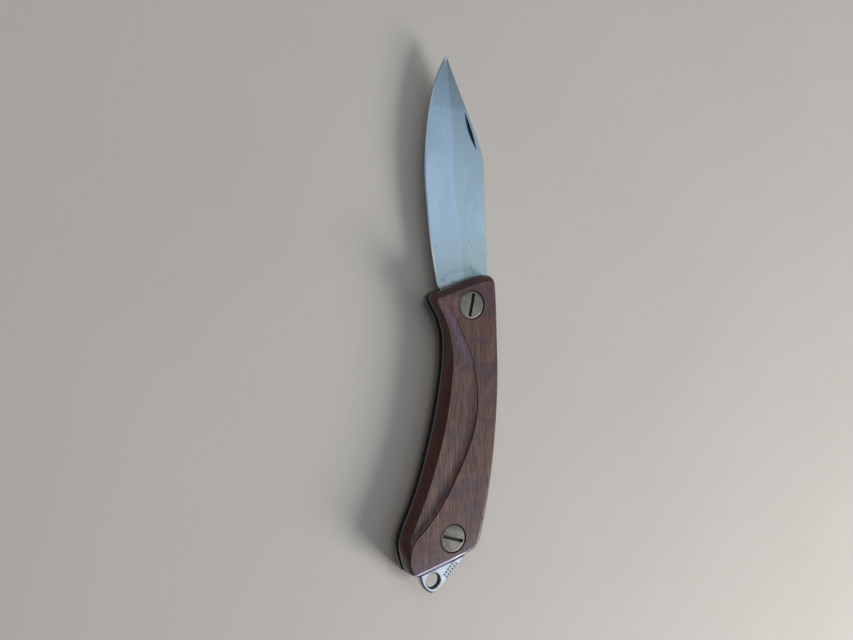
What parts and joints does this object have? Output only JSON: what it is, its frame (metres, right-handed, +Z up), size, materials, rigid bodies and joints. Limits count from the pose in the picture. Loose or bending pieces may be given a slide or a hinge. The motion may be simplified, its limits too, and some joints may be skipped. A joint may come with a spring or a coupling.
{
  "type": "grafting knife",
  "caption": "Folding grafting knife with curved wooden scales, clip-point ground blade and a steel lanyard tab at the butt.",
  "frame": {"origin": "middle of the open knife's outline, on the table plane that the rear scale lies on", "axes": "+Y along the knife towards the blade tip, +X towards the back of the knife (the cutting edge is on the -X side), +Z up out of the front scale, along the pivot axis"},
  "size_m": [0.0355, 0.1824, 0.013],
  "materials": {
    "wood": "oiled close-grained reddish brown hardwood with dark streaks",
    "liner_steel": "satin",
    "spring_steel": "bright satin",
    "blade_steel": "fine ground satin",
    "screw_metal": "dull nickel silver, worn satin",
    "bush_bronze": "turned",
    "washer_brass": "thin rolled brass",
    "pin_steel": "turned"
  },
  "bodies": {
    "handle": {"front_scale": "wood", "rear_scale": "wood", "front_liner": "liner_steel", "rear_liner": "liner_steel", "backspring": "spring_steel", "pivot_screw": "screw_metal", "pivot_barrel_nut": "screw_metal", "tail_screw": "screw_metal", "tail_barrel_nut": "screw_metal", "pivot_bush": "bush_bronze", "front_pivot_washer": "washer_brass", "rear_pivot_washer": "washer_brass", "spring_pin": "pin_steel"},
    "blade": {"blade": "blade_steel"}
  },
  "joints": [
    {"name": "blade_pivot", "type": "hinge", "parent": "handle", "child": "blade", "pos_m": [0.0065, 0.00675, 0.0065], "axis": [0, 0, 1], "range_deg": [0, 164]}
  ]
}
